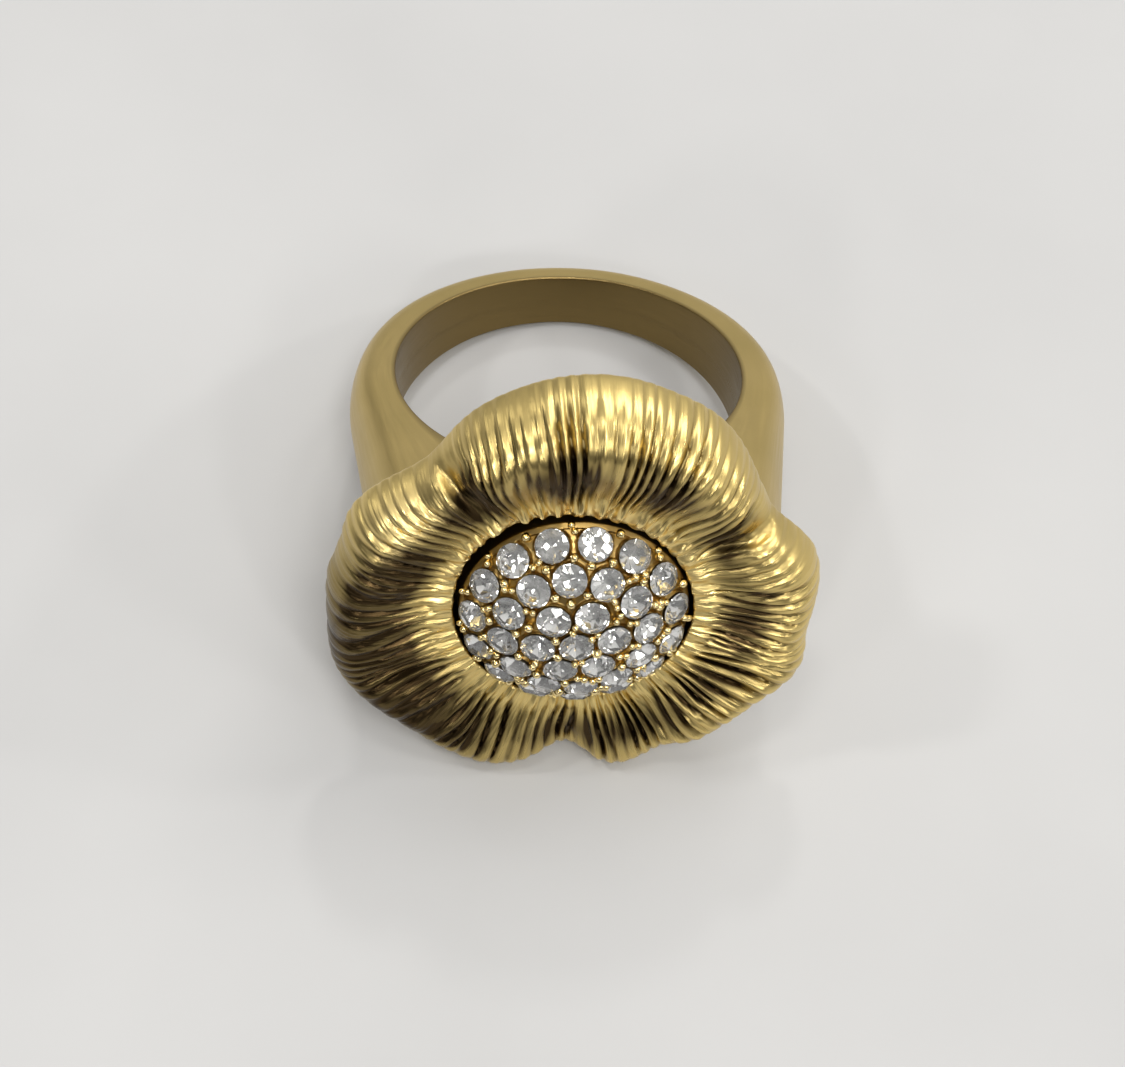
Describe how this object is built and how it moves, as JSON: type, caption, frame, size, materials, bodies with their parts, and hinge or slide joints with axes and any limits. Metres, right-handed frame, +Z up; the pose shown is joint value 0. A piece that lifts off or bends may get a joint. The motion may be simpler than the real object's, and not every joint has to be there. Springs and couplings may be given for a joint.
{
  "type": "cocktail ring",
  "caption": "Gold-tone cocktail ring with a large lobed flower, fine radial ridges on its curled petals and a raised pave dome of clear round stones.",
  "frame": {"origin": "centre of the finger hole, on its axis, at the middle of the band's width", "axes": "+Z up as the ring lies on a table on the back of its shank and its two lower petals; +Y from the flower towards the back of the shank; +X to the right as seen by someone facing the flower; the finger hole's axis leans from +Z towards +Y"},
  "size_m": [0.0231, 0.0279, 0.0208],
  "materials": {
    "satin_gold": "satin antiqued gold plating on the shank",
    "brushed_gold": "bright gold plating over radial ridges with darkened grooves",
    "setting_gold": "polished gold plating on the dome and its beads",
    "pin_metal": "plain brass wire, hidden inside",
    "crystal": "clear cut glass with a foiled back"
  },
  "bodies": {
    "root": {"shank": "satin_gold", "flower": "brushed_gold", "pave_dome": "setting_gold", "centre_pin": "pin_metal", "stone_01": "crystal", "stone_02": "crystal", "stone_03": "crystal", "stone_04": "crystal", "stone_05": "crystal", "stone_06": "crystal", "stone_07": "crystal", "stone_08": "crystal", "stone_09": "crystal", "stone_10": "crystal", "stone_11": "crystal", "stone_12": "crystal", "stone_13": "crystal", "stone_14": "crystal", "stone_15": "crystal", "stone_16": "crystal", "stone_17": "crystal", "stone_18": "crystal", "stone_19": "crystal", "stone_20": "crystal", "stone_21": "crystal", "stone_22": "crystal", "stone_23": "crystal", "stone_24": "crystal", "stone_25": "crystal", "stone_26": "crystal", "stone_27": "crystal", "stone_28": "crystal", "stone_29": "crystal", "stone_30": "crystal", "stone_31": "crystal", "stone_32": "crystal", "stone_33": "crystal", "stone_34": "crystal"}
  },
  "joints": []
}
